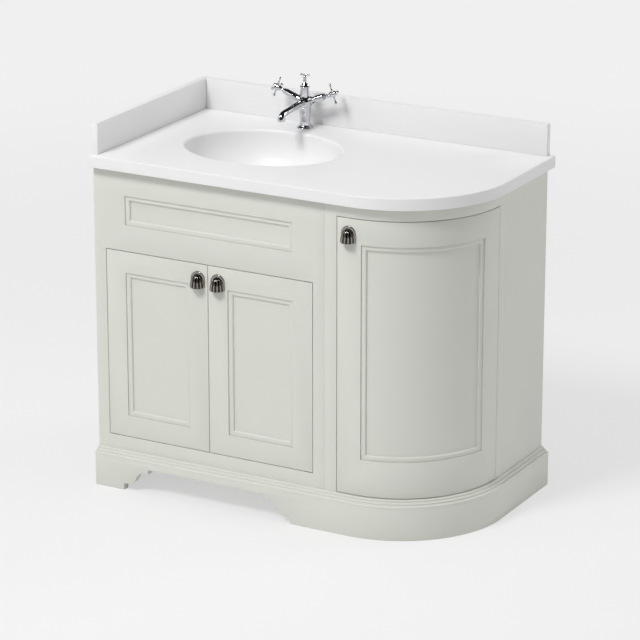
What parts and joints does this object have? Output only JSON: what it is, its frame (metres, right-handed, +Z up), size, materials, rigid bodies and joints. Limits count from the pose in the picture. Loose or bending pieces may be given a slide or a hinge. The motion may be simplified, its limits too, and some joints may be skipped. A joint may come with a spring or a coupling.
{
  "type": "corner vanity unit",
  "caption": "Painted bathroom vanity with panelled doors, a curved corner door, arched plinth, white worktop with inset oval basin, upstands, cross-handle tap and pop-up waste.",
  "frame": {"origin": "on the floor, at the middle of the unit's footprint, door pulls included", "axes": "+X along the front towards the curved end, +Y to the back wall, +Z up"},
  "size_m": [1, 0.5516, 0.9998],
  "materials": {
    "paint": "moisture-resistant board, painted satin stone white",
    "cast_marble": "cast mineral resin, white gloss gel coat",
    "chrome": "polished chrome plate",
    "steel": "zinc-plated steel",
    "copper": "drawn copper tube",
    "plastic": "white polypropylene"
  },
  "bodies": {
    "cabinet": {"vanity_side_left": "paint", "vanity_side_right": "paint", "vanity_base": "paint", "vanity_back": "paint", "vanity_shelf": "paint", "vanity_rear_rail": "paint", "stile_left": "paint", "stile_right": "paint", "bottom_rail": "paint", "drawer_fascia": "paint", "drawer_fascia_bead": "paint", "curved_side_left": "paint", "curved_side_right": "paint", "curved_base": "paint", "curved_back": "paint", "curved_shelf": "paint", "curved_rear_rail": "paint", "curved_stile_left": "paint", "curved_stile_right": "paint", "curved_top_rail": "paint", "plinth_front": "paint", "plinth_curve": "paint", "plinth_side": "paint", "plinth_moulding": "paint", "pivot_sockets": "steel", "shelf_pins": "steel", "worktop": "cast_marble", "basin_bowl": "cast_marble", "upstand_back": "cast_marble", "upstand_left": "cast_marble", "waste_body": "chrome", "waste_nuts": "steel", "trap_body": "plastic", "trap_cup": "plastic", "trap_pipe": "plastic", "tap_body": "chrome", "tap_spout": "chrome", "tap_bonnets": "chrome", "tap_fixing": "steel", "tap_tails": "copper"},
    "left_door": {"left_door_frame": "paint", "left_door_panel": "paint", "left_door_bead": "paint", "left_pull": "chrome", "left_door_pivots": "steel"},
    "right_door": {"right_door_frame": "paint", "right_door_panel": "paint", "right_door_bead": "paint", "right_pull": "chrome", "right_door_pivots": "steel"},
    "curved_door": {"curved_door_frame": "paint", "curved_door_panel": "paint", "curved_door_bead": "paint", "curved_pull": "chrome", "curved_door_pivots": "steel"},
    "hot_handle": {"hot_handle": "chrome"},
    "cold_handle": {"cold_handle": "chrome"},
    "lift_knob": {"lift_rod": "chrome"},
    "rocker": {"rocker_arm": "steel"},
    "plug": {"waste_plug": "chrome"}
  },
  "joints": [
    {"name": "left_door_hinge", "type": "hinge", "parent": "cabinet", "child": "left_door", "pos_m": [-0.462, -0.25025, 0.38], "axis": [0, 0, -1], "range_deg": [0, 90]},
    {"name": "right_door_hinge", "type": "hinge", "parent": "cabinet", "child": "right_door", "pos_m": [0.11, -0.25025, 0.38], "axis": [0, 0, 1], "range_deg": [0, 105]},
    {"name": "curved_door_hinge", "type": "hinge", "parent": "cabinet", "child": "curved_door", "pos_m": [0.476, 0.00575, 0.449], "axis": [0, 0, 1], "range_deg": [0, 100]},
    {"name": "hot_turn", "type": "hinge", "parent": "cabinet", "child": "hot_handle", "pos_m": [-0.165, 0.21175, 0.926], "axis": [-0.9336, 0, 0.3584], "range_deg": [0, 90]},
    {"name": "cold_turn", "type": "hinge", "parent": "cabinet", "child": "cold_handle", "pos_m": [-0.165, 0.21175, 0.926], "axis": [0.9336, 0, 0.3584], "range_deg": [-90, 0]},
    {"name": "knob_lift", "type": "slide", "parent": "cabinet", "child": "lift_knob", "axis": [0, 0, 1], "range_m": [0, 0.03]},
    {"name": "rocker_tilt", "type": "hinge", "parent": "cabinet", "child": "rocker", "pos_m": [-0.165, 0.03075, 0.695], "axis": [1, 0, 0], "range_deg": [0, 9.6]},
    {"name": "plug_drop", "type": "slide", "parent": "cabinet", "child": "plug", "axis": [0, 0, 1], "range_m": [-0.005, 0]}
  ],
  "couplings": [
    {"joint": "rocker_tilt", "follows": "knob_lift", "rad_per_m": 5.5505},
    {"joint": "plug_drop", "follows": "knob_lift", "ratio": -0.1666}
  ]
}
